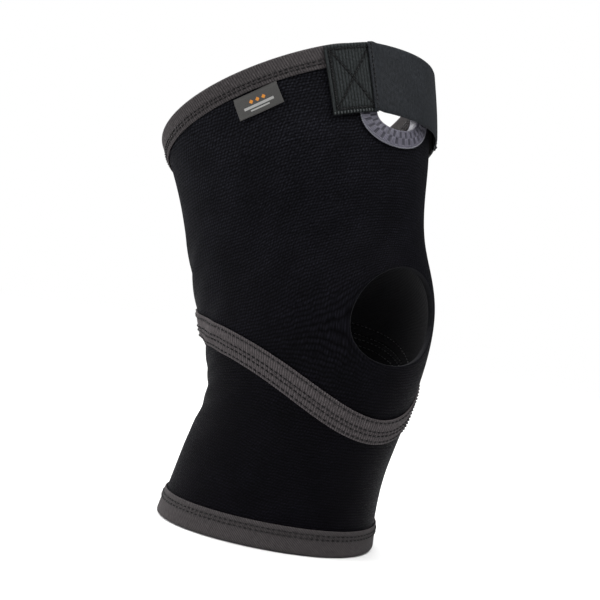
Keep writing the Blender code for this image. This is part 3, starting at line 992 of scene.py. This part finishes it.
def stitches(name, start, end, out, material, radius=THREAD_RADIUS, lift=1.0, inward=False):
    """Separate stitches from start to end, both lists of (angle, height), lying at an offset."""
    start = np.asarray(start, float)
    end = np.asarray(end, float)
    out = np.broadcast_to(out, (len(start),))
    t = np.linspace(0, 1, len(ARCH))[None, :, None]
    path = start[:, None, :] * (1 - t) + end[:, None, :] * t
    sign = -1 if inward else 1
    level = out[:, None] + sign * lift * ARCH[None, :]
    points = cloth(path[..., 0], path[..., 1], level)
    above = cloth(path[..., 0], path[..., 1], level + sign * MM)
    up = unit(above - points)
    run = unit(np.gradient(points, axis=1))
    side = unit(np.cross(run, up))
    up = np.cross(side, run)
    turns = np.arange(THREAD_SIDES) * 2 * math.pi / THREAD_SIDES
    ring = side[:, :, None, :] * np.cos(turns)[:, None] + up[:, :, None, :] * np.sin(turns)[:, None]
    tube = points[:, :, None, :] + ring * (radius * TAPER)[None, :, None, None]
    count, steps = path.shape[:2]
    block = grid_quads(steps, THREAD_SIDES, wrap_columns=True)
    shift = (np.arange(count) * steps * THREAD_SIDES)[:, None, None]
    sides = (block[None] + shift).reshape(-1, 4)
    first = shift[:, 0, 0][:, None] + np.arange(THREAD_SIDES)[::-1][None, :]
    last = shift[:, 0, 0][:, None] + (steps - 1) * THREAD_SIDES + np.arange(THREAD_SIDES)[None, :]
    length = np.linalg.norm(np.diff(points, axis=1), axis=-1)
    run_length = np.concatenate([np.zeros((count, 1)), np.cumsum(length, axis=1)], axis=1)
    u = np.broadcast_to((run_length + np.arange(count)[:, None] * STITCH_PITCH)[:, :, None], tube.shape[:3])
    v = np.broadcast_to(turns * radius, tube.shape[:3])
    uv = np.stack([u, v], -1) / MM
    return make_piece(name, tube, list(sides) + list(first) + list(last), uv, [material])


def row_piece(name, height_at, phase=0.0, inner_face=None):
    """A row of stitches round the sleeve through a tape, outside, or inside where inner_face is given."""
    angles, run = ring_run(height_at)
    count = round(run[-1] / STITCH_PITCH)
    first = (np.arange(count) + phase) / count * run[-1]
    spots = [np.interp(first + fill * run[-1] / count, run, angles) for fill in (0, STITCH_FILL)]
    start, end = (np.stack([spot, height_at(spot)], -1) for spot in spots)
    if inner_face is None:
        return stitches(name, start, end, TAPE_OUTER - SUNK, DARK_THREAD, radius=ROW_THREAD_RADIUS)
    return stitches(name, start, end, inner_face, GREY_THREAD, inward=True)


def back_zigzag(name, low, high):
    """Flat zigzag stitches over the butted edges at the centre back."""
    step = 1.9 * MM
    half = 2.1 * MM / GIRTH_RADIUS
    count = round((high - low) / step)
    heights = np.linspace(low, high, count + 1)
    sides = half * np.where(np.arange(count + 1) % 2, 1, -1)
    spots = np.stack([math.pi + sides, heights], -1)
    return stitches(name, spots[:-1], spots[1:], 0.12 * MM, DARK_THREAD, lift=0.7)


# Eyelet


SATIN_PITCH = 0.75 * MM
SATIN_SAMPLES = 5
EYELET_LIP = 0.9 * MM


def eyelet_embroidery():
    """Radial satin stitches over both faces of the eyelet's edge, with two staggered rows of slots."""
    girth = math.pi * math.sqrt(2) * math.hypot(EYELET_HALF_WIDTH + 5 * MM, EYELET_HALF_HEIGHT + 5 * MM)
    columns = round(girth / SATIN_PITCH) * SATIN_SAMPLES
    turns = np.arange(columns) * 2 * math.pi / columns
    outer, inner = TAPE_OUTER, TAPE_INNER
    middle = (outer + inner) / 2
    face = [(d, outer, 1.0) for d in np.linspace(EYELET_RING, EYELET_LIP, 26)]
    for t in np.linspace(0, math.pi, 8)[1:-1]:
        out = middle + (outer - inner) / 2 * math.cos(t)
        face.append((EYELET_LIP * (1 - math.sin(t) ** 0.8), out, 1.0))
    back = [(d, inner, 0.8) for d in np.linspace(EYELET_LIP, EYELET_RING, 12)]
    hidden = [(d, inner + TAPE, 0.0) for d in np.linspace(EYELET_RING, 2 * MM, 3)]
    hidden += [(d, GAP, 0.0) for d in np.linspace(2 * MM, EYELET_RING, 3)]
    away, out, rib = np.array(face + back + hidden).T[..., None]
    edge_angle, edge_height = eyelet.edge(turns[None, :], away)
    crest = ribs(np.arange(columns) / SATIN_SAMPLES)
    share = away[:, 0] / EYELET_RING
    slot = np.maximum(slot_row(turns, 0.0, share, 0.14, 0.5), slot_row(turns, 0.5, share, 0.5, 0.86))
    slot = slot * (rib > 0)
    pad = 0.35 * MM * np.sin(math.pi * np.clip(share, 0, 1))[:, None] ** 0.5
    offset = out + np.where(out > 0, 1, -1) * pad * (rib > 0)
    facing = np.where(out > middle, 1, -1)
    offset = offset + facing * rib * (0.2 * MM * (crest - 1) - 0.5 * MM * slot)
    points = cloth(edge_angle, edge_height, offset)
    u = np.broadcast_to(away / MM, edge_angle.shape)
    v = np.broadcast_to(turns * girth / (2 * math.pi) / MM, edge_angle.shape)
    faces = grid_quads(len(away), columns, wrap_rows=True, wrap_columns=True)
    made = make_piece("eyelet_embroidery", points, faces, np.stack([u, v], -1), [SATIN])
    # painted shade: the crest share darkens the satin between its stitches
    set_share(made, "crest", np.broadcast_to(crest**1.5, edge_angle.shape))
    set_share(made, "slot", slot)
    return made


def slot_row(turns, phase, share, near, far):
    """A row of radial slots, 1 inside a slot and 0 outside."""
    position = np.mod(turns / (2 * math.pi) * EYELET_SLOTS + phase, 1) - 0.5
    wide = 1 - fade(abs(position), 0.12, 0.27)
    long = fade(share, near - 0.03, near + 0.03) * (1 - fade(share, far - 0.03, far + 0.03))
    return long[:, None] * wide[None, :]


def eyelet_rim():
    """A light cord round the outside of the embroidery, of short slanted stitches."""
    count = 96
    turn = np.arange(count) * 2 * math.pi / count
    start = np.stack(eyelet.edge(turn, EYELET_RING + 0.35 * MM), -1)
    end = np.stack(eyelet.edge(turn + 2 * math.pi / count * 1.25, EYELET_RING - 0.15 * MM), -1)
    return stitches("eyelet_rim", start, end, TAPE_OUTER, RIM_THREAD, radius=0.36 * MM, lift=0.5)


# Strap, tabs and label


def strap_run(angle):
    return np.clip((angle - NEAR_TAB[1]) / (FAR_TAB[0] - NEAR_TAB[1]), 0, 1)


def strap_spot(angle, share, lift=0.0):
    """Height and offset of the strap's outer face; share runs from its lower edge to its upper edge."""
    arch = np.sin(math.pi * strap_run(angle))
    top = STRAP_TOP_NEAR + (STRAP_TOP_FAR - STRAP_TOP_NEAR) * strap_run(angle)
    height = top - STRAP_SAG * arch - STRAP_WIDTH * (1 - share)
    return height, STRAP_OFFSET + STRAP_STANDOFF * arch + lift


def strap_surface(angle, share, lift=0.0):
    height, out = strap_spot(angle, share, lift)
    return skin(angle, height, out)


def band(name, angles, shares, over, under, rims, overhang, material):
    """A flat closed band of the strap, its faces lifted by over and under, arrays of shares by angles.

    rims are the lifts of its lower and upper edges, which stand out by overhang as a share of the width.
    """
    rows, columns = len(shares), len(angles)
    a = np.broadcast_to(angles, (rows, columns))
    s = np.broadcast_to(shares[:, None], (rows, columns))
    outer = strap_surface(a, s, over)
    inner = strap_surface(a, s, under)
    low = strap_surface(angles, np.full(columns, shares[0] - overhang), rims[0])
    high = strap_surface(angles, np.full(columns, shares[-1] + overhang), rims[1])
    length = run_along(outer[rows // 2])
    loop = np.concatenate([outer, high[None], inner[::-1], low[None]])
    uv = np.stack([np.broadcast_to(length / MM, a.shape), s * STRAP_WIDTH / MM], -1)
    uv = np.concatenate([uv, uv[-1:], uv[::-1], uv[:1]])
    ring = np.arange(len(loop)) * columns
    faces = list(grid_quads(len(loop), columns, wrap_rows=True)) + [ring, (ring + columns - 1)[::-1]]
    return make_piece(name, loop, faces, uv, [material])


def line_distance(x, y, start, end):
    """Distance of points from a straight line between two points."""
    dx, dy = end[0] - start[0], end[1] - start[1]
    t = np.clip(((x - start[0]) * dx + (y - start[1]) * dy) / (dx * dx + dy * dy), 0, 1)
    return np.hypot(x - start[0] - t * dx, y - start[1] - t * dy)


TAB_INSET = 2.6 * MM
TAB_RIB_PITCH = 1.85 * MM
BOX_PITCH = 2.6 * MM
TAB_OVERHANG = 0.35 * MM / STRAP_WIDTH


def box_lines(width):
    """The four sides and two diagonals of a tab's box stitch, in distances from its lower corner."""
    left, right = TAB_INSET, width - TAB_INSET
    low, high = TAB_INSET, STRAP_WIDTH - TAB_INSET
    corners = [(left, low), (right, low), (right, high), (left, high)]
    lines = [(corners[i], corners[(i + 1) % 4]) for i in range(4)]
    return lines + [(corners[0], corners[2]), (corners[1], corners[3])]


def strap_tab(side, ends):
    """A ribbed end of the strap, sewn down with a box and a cross."""
    width = float(np.linalg.norm(np.diff(strap_surface(np.array(ends), np.array([0.5, 0.5])), axis=0)))
    rib_count = round(width / TAB_RIB_PITCH)
    columns = rib_count * 7 + 1
    rows = 61
    x = np.linspace(0, width, columns)[None, :]
    y = np.linspace(0, STRAP_WIDTH, rows)[:, None]
    crest = abs(np.sin(math.pi * rib_count * x / width)) ** 0.6
    lines = box_lines(width)
    near = np.min([line_distance(x, y, *line) for line in lines], axis=0)
    pressed = np.exp(-((near / (0.9 * MM)) ** 2))
    edge = np.minimum(np.minimum(x, width - x), np.minimum(y, STRAP_WIDTH - y))
    rounded = -0.35 * MM * np.exp(-((edge / (0.5 * MM)) ** 2))
    lift = 0.24 * MM * (crest - 1) * (1 - 0.6 * pressed) - 0.3 * MM * pressed + rounded
    angles = np.linspace(*ends, columns)
    shares = np.linspace(0, 1, rows)
    rims = (-STRAP_THICKNESS / 2, -STRAP_THICKNESS / 2)
    made = band(f"strap_end_{side}", angles, shares, lift, -STRAP_THICKNESS, rims, TAB_OVERHANG, RIBBED)
    # painted shade: the crest share is low in the rib valleys and along the pressed box stitches, which
    # darkens the colour there
    body = (crest * (1 - 0.8 * pressed)) * np.ones((rows, 1))
    flat = np.zeros((1, columns))
    set_share(made, "crest", np.concatenate([body, flat, 0.5 * body[::-1], flat]))
    seams = tab_stitches(side, ends, width, lines)
    return made, seams


def tab_stitches(side, ends, width, lines):
    """The threads of a tab's box and cross."""
    spots, outs = [], []
    for first, last in lines:
        count = round(math.dist(first, last) / BOX_PITCH)
        share = (np.arange(count) + np.array([[0], [0.76]])) / count
        x, y = (begin + (finish - begin) * share for begin, finish in zip(first, last))
        angle = ends[0] + (ends[1] - ends[0]) * x / width
        height, out = strap_spot(angle, y / STRAP_WIDTH)
        spots.append(np.stack([angle, height], -1))
        outs.append(out[1] - SUNK)
    start, end = np.concatenate(spots, axis=1)
    level = np.concatenate(outs)
    return stitches(f"strap_end_stitch_{side}", start, end, level, DARK_THREAD, radius=0.24 * MM)


def upright_threads(name, angles, shares, rise, material, lift=1.0):
    """Threads up the strap's face between two shares of its width, raised by rise."""
    heights, outs = zip(*(strap_spot(angles, share) for share in shares))
    start, end = (np.stack([angles, height], -1) for height in heights)
    return stitches(name, start, end, outs[0] + rise, material, radius=0.3 * MM, lift=lift)


def tab_edging(side, ends):
    """Light whipped threads along a tab's lower edge, one on each rib."""
    width = float(np.linalg.norm(np.diff(strap_surface(np.array(ends), np.array([0.0, 0.0])), axis=0)))
    count = round(width / TAB_RIB_PITCH)
    middles = ends[0] + (ends[1] - ends[0]) * (np.arange(count) + 0.5) / count
    name = f"strap_end_edging_{side}"
    return upright_threads(name, middles, (0.004, 0.034), 0.05 * MM, EDGE_THREAD, lift=0.6)


OVERLAP = 3.2 * MM
OVERLAP_LIFT = 1.45 * MM
STRAP_RADIUS = 78 * MM
END_PITCH = 2.5 * MM


def pull_strap():
    """The free loop of the strap, its two ends lapped over the tabs."""
    near_angle = NEAR_TAB[1] - OVERLAP / STRAP_RADIUS
    far_angle = FAR_TAB[0] + OVERLAP / STRAP_RADIUS
    columns, rows = 150, 41
    angles = np.linspace(near_angle, far_angle, columns)
    shares = np.linspace(0, 1, rows)
    y = shares[:, None] * STRAP_WIDTH
    edge = np.minimum(y, STRAP_WIDTH - y)
    clear = fade(angles - NEAR_TAB[1], -0.01, 0.05) * fade(FAR_TAB[0] - angles, -0.01, 0.05)
    rounded = -0.4 * MM * np.exp(-((edge / (0.6 * MM)) ** 2))
    slow = 0.35 * MM * np.sin(angles * 9 + 0.7)[None, :] * np.sin(math.pi * shares)[:, None]
    lift = rounded + slow + (1 - clear)[None, :] * OVERLAP_LIFT
    under = lift - rounded * 1.6 - STRAP_THICKNESS
    rims = (lift - rounded)[[0, -1]] - STRAP_THICKNESS / 2
    return band("strap_loop", angles, shares, lift, under, rims, 0.007, WEBBING)


def strap_end_row(side, edge, away):
    """A row of stitches through the strap's lapped end; away is the direction of the tab."""
    count = round(STRAP_WIDTH / END_PITCH)
    angles = np.full(count, edge + away * 0.45 * OVERLAP / STRAP_RADIUS)
    shares = [(np.arange(count) + share) / count for share in (0.2, 0.82)]
    return upright_threads(f"strap_end_row_{side}", angles, shares, OVERLAP_LIFT - 0.1 * MM, DARK_THREAD)


def label_frame():
    """The label's hinge and its sideways, upward and outward directions, from its joint."""
    joint = JOINTS["label_flip"]
    by_angle, by_height = slopes(np.array(LABEL_ANGLE), np.array(LABEL_TOP))
    outward = unit(np.cross(by_angle, by_height))
    side = -np.array(joint["axis"])
    side = unit(side - outward * (side @ outward))
    return np.array(joint["pos_m"]), side, np.cross(outward, side), outward


def woven_label():
    """A thin label hanging from under the binding, its lower corner lifted and its root bent to the seam."""
    hinge, side, up, outward = label_frame()
    width, height = LABEL_SIZE
    thickness = 0.45 * MM
    columns, rows = 57, 33
    root = 1.4 * MM
    x = np.linspace(-width / 2, width / 2, columns)[None, :] * np.ones((rows, 1))
    y = np.linspace(-height, root, rows)[:, None] * np.ones((1, columns))
    down = np.clip(-y / height, 0, 1)
    curl = 1.6 * MM * down**2 * fade(-x / width, 0.0, 0.5) + 0.35 * MM * np.sin(math.pi * down)
    sink = 0.9 * MM * fade(y, -1.5 * MM, root)
    flat = curl - sink - 0.35 * MM
    front = hinge + x[..., None] * side + y[..., None] * up + flat[..., None] * outward
    back = front - thickness * outward
    left = (front[:, 0] + back[:, 0]) / 2 - 0.12 * MM * side
    right = (front[:, -1] + back[:, -1]) / 2 + 0.12 * MM * side
    sheet = np.concatenate([left[:, None], front, right[:, None], back[:, ::-1]], axis=1)
    around = sheet.shape[1]
    u = np.concatenate([x[:, :1], x, x[:, -1:], x[:, ::-1]], axis=1) / MM
    v = np.broadcast_to((y[:, :1] + height) / MM, sheet.shape[:2])
    faces = list(grid_quads(rows, around, wrap_columns=True))
    faces.append(np.arange(around)[::-1])
    faces.append(np.arange(around) + (rows - 1) * around)
    return make_piece("label_cloth", sheet, faces, np.stack([u, v], -1), [LABEL])


# Bodies


def node_points(*nodes):
    points = []
    for node in nodes:
        mesh = frame["nodes"][node].data
        spots = np.zeros(len(mesh.vertices) * 3)
        mesh.vertices.foreach_get("co", spots)
        points.append(spots.reshape(-1, 3))
    return np.concatenate(points)


BLEND_LEAN = math.radians(9)
BLEND_WAY = np.array([0, math.sin(BLEND_LEAN), math.cos(BLEND_LEAN)])


def blend_zone():
    """The cloth bends between the bottom binding and whatever is sewn stiff on the thigh."""
    knee = np.array(KNEE)
    low = (node_points("bottom_binding") @ BLEND_WAY).max()
    stiff = ("top_binding", "eyelet_ring", "strap_tab_near", "strap_tab_far")
    high = (node_points(*stiff) @ BLEND_WAY).min()
    level = knee @ BLEND_WAY
    return knee + BLEND_WAY * (low - level), knee + BLEND_WAY * (high - level)


ZONE = blend_zone()


def credit(nodes):
    """Hide the CAD nodes that the piece stands for, if any."""
    if nodes:
        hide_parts(*nodes)


def bend(obj, slot, *nodes):
    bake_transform(obj)
    credit(nodes)


def ride(obj, body, slot, *nodes):
    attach(obj, body)
    credit(nodes)


# Each binding's name, body, height of its edge, width (negative where it reaches down) and rib slant
HEMS = (
    ("top", "thigh", top_hem, -TOP_BINDING_WIDTH, HEM_SLANT / 3),
    ("bottom", "calf", np.zeros_like, BOTTOM_BINDING_WIDTH, HEM_SLANT),
)


def build_sleeve():
    """The two panels, the seam tape and the hem bindings."""
    seam_half = 0.25 * MM
    thigh_low = lambda a: seam(a) + seam_half
    thigh_high = lambda a: top_hem(a) - TAPE - HEM_CLEARANCE
    thigh = panel("sleeve_thigh", thigh_low, thigh_high, 240, 104, (patella, eyelet_cut))
    bend(thigh, "black_knit", "thigh_panel")
    calf_low = lambda a: np.full(np.shape(a), TAPE + HEM_CLEARANCE)
    calf = panel("sleeve_calf", calf_low, lambda a: seam(a) - seam_half, 240, 60)
    bend(calf, "black_knit", "calf_panel")
    bend(seam_tape(), "grey_tape", "seam_tape")
    for hem, body, edge, width, slant in HEMS:
        ride(hem_binding(hem, edge, width, slant), body, "grey_tape", f"{hem}_binding")


def build_rows():
    """The stitch rows of the bindings and the seam tape, and the zigzag at the centre back."""
    for i, share in enumerate(BINDING_ROWS, 1):
        for hem, body, edge, width, _ in HEMS:
            line = hem_line(edge, width, share)
            ride(row_piece(f"hem_stitch_{hem}_{i}", line), body, "grey_thread", f"{hem}_binding_stitch_{i}")
            inner = row_piece(f"hem_stitch_{hem}_inner_{i}", line, 0.5, TAPE_INNER)
            ride(inner, body, "grey_thread")
    for i, share in enumerate(SEAM_ROWS, 1):
        line = lambda a: beside_seam(a, share * SEAM_TAPE_WIDTH / 2)
        bend(row_piece(f"seam_stitch_{i}", line, 0.23 * i), "grey_thread", f"seam_tape_stitch_{i}")
        bend(row_piece(f"seam_stitch_inner_{i}", line, 0.5, -WALL), "grey_thread")
    back = np.array(math.pi)
    below, above = (float(beside_seam(back, side * (SEAM_TAPE_WIDTH / 2 + 2 * MM))) for side in (-1, 1))
    top = float(top_hem(back)) - TOP_BINDING_WIDTH - 2 * MM
    for body, low, high in (("calf", BOTTOM_BINDING_WIDTH + 2 * MM, below), ("thigh", above, top)):
        bend(back_zigzag(f"back_zigzag_{body}", low, high), "grey_thread", f"back_seam_thread_{body}")


def build_fittings():
    """The eyelet, the strap with its tabs, and the label."""
    ride(eyelet_embroidery(), "thigh", "lavender_thread", "eyelet_ring")
    ride(eyelet_rim(), "thigh", "lavender_thread")
    for side, ends in (("near", NEAR_TAB), ("far", FAR_TAB)):
        tab, seams = strap_tab(side, ends)
        ride(tab, "thigh", "ribbed_tab", f"strap_tab_{side}")
        ride(seams, "thigh", "grey_thread", f"strap_tab_stitch_{side}")
        ride(tab_edging(side, ends), "thigh", "grey_thread")
    ride(strap_end_row("near", NEAR_TAB[1], -1), "thigh", "grey_thread")
    ride(strap_end_row("far", FAR_TAB[0], 1), "thigh", "grey_thread")
    strap = pull_strap()
    axis = Vector(JOINTS["strap_lift"]["axis"]).normalized()
    ahead = Vector((0, -1, 0))
    ahead = (ahead - axis * ahead.dot(axis)).normalized()
    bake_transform(strap)
    credit(["pull_strap"])
    label = woven_label()
    pivot, _, up, _ = label_frame()
    pivot + up * 0.8 * MM
    pivot - up * 2.5 * MM
    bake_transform(label)
    credit(["woven_label"])


# Studio

BACKGROUND = (1.0, 1.0, 1.0, 1.0)
AMBIENT = 0.16
FLOOR_REACH = 6.0
FLOOR_FADE = (0.25, 0.8)


def white_for_camera(tree):
    """Full strength where the camera looks, and only the ambient strength as light on the object."""
    seen = add_node(tree, "LightPath").outputs["Is Camera Ray"]
    return add_node(tree, "MapRange", Value=seen, To_Min=AMBIENT, To_Max=1.0).outputs["Result"]


def floor():
    """A pale floor that fades into the white of the background."""
    mesh = bpy.data.meshes.new("floor")
    corners = [(x * FLOOR_REACH, y * FLOOR_REACH, 0) for x, y in ((-1, -1), (1, -1), (1, 1), (-1, 1))]
    mesh.from_pydata(corners, [], [(0, 1, 2, 3)])
    made = bpy.data.objects.new("floor", mesh)
    pale = {"Base Color": (0.86, 0.86, 0.86, 1), "Roughness": 0.9, "Specular IOR Level": 0.1}
    material, tree, surface = principled("floor", pale)
    glow = add_node(tree, "Emission", Color=BACKGROUND, Strength=white_for_camera(tree))
    distance = add_node(tree, "VectorMath", operation="LENGTH")
    feed(distance.inputs[0], add_node(tree, "TexCoord").outputs["Object"])
    near, far = FLOOR_FADE
    ramp = add_node(tree, "MapRange", interpolation_type="SMOOTHSTEP", From_Min=near, From_Max=far)
    feed(ramp.inputs["Value"], distance.outputs["Value"])
    blend = add_node(tree, "MixShader", Fac=ramp.outputs["Result"])
    feed(blend.inputs[1], surface.outputs[0])
    feed(blend.inputs[2], glow.outputs[0])
    feed(tree.nodes["Material Output"].inputs["Surface"], blend.outputs[0])
    mesh.materials.append(material)
    bpy.context.scene.collection.objects.link(made)
    made.location.z = -0.2 * MM
    made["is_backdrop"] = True


def towards(azimuth, elevation):
    """The direction from the object to a viewer; azimuth 0 is in front, 90 on the +X side."""
    a, e = math.radians(azimuth), math.radians(elevation)
    return Vector((math.sin(a) * math.cos(e), -math.cos(a) * math.cos(e), math.sin(e)))


def softbox(name, azimuth, elevation, distance, size, power, aim):
    """A square area light that looks at aim."""
    data = bpy.data.lights.new(name, "AREA")
    data.size = size
    data.energy = power
    light = bpy.data.objects.new(name, data)
    back = towards(azimuth, elevation)
    light.location = aim + back * distance
    light.rotation_euler = back.to_track_quat("Z", "Y").to_euler()
    bpy.context.scene.collection.objects.link(light)


def studio(middle):
    floor()
    world = bpy.data.worlds.new("studio")
    world.use_nodes = True
    background = world.node_tree.nodes["Background"]
    feed(background.inputs["Strength"], white_for_camera(world.node_tree))
    feed(background.inputs["Color"], BACKGROUND)
    bpy.context.scene.world = world
    softbox("side", -112, 25, 1.4, 0.7, 12, middle)
    softbox("top", 6, 62, 1.1, 0.8, 15.5, middle)
    softbox("fill", -40, 25, 2.0, 1.2, 6.5, middle)
    softbox("back", 150, 45, 1.6, 1.0, 18, middle)
    softbox("rear", -172, 32, 1.5, 0.7, 25, middle)
    bpy.context.scene.view_settings.view_transform = "Standard"


VIEW_AZIMUTH = -44.5
VIEW_ELEVATION = 9.24
VIEW_ROLL = math.radians(9.53)
VIEW_DISTANCE = 1.656
VIEW_HEIGHT = 98.8 * MM
AIM_DROP = 10.9 * MM
SENSOR = 36
LENS = 168


def camera(middle):
    """The picture's viewing angle: from the front of the -X side, slightly above, rolled a little."""
    data = bpy.data.cameras.new("camera")
    data.sensor_width = SENSOR
    data.lens = LENS
    data.clip_start = 0.1
    made = bpy.data.objects.new("camera", data)
    pivot = Vector((0, np.interp(VIEW_HEIGHT, HEIGHTS, CENTRE_Y), np.interp(VIEW_HEIGHT, HEIGHTS, CENTRE_Z)))
    made.location = pivot + towards(VIEW_AZIMUTH, VIEW_ELEVATION) * VIEW_DISTANCE
    turn = (middle - Vector((0, 0, AIM_DROP)) - made.location).to_track_quat("-Z", "Y")
    made.rotation_mode = "QUATERNION"
    made.rotation_quaternion = turn @ Quaternion((0, 0, 1), VIEW_ROLL)
    bpy.context.scene.collection.objects.link(made)
    bpy.context.scene.camera = made


build_sleeve()
build_rows()
build_fittings()
low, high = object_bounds()
studio((low + high) / 2)
camera((low + high) / 2)
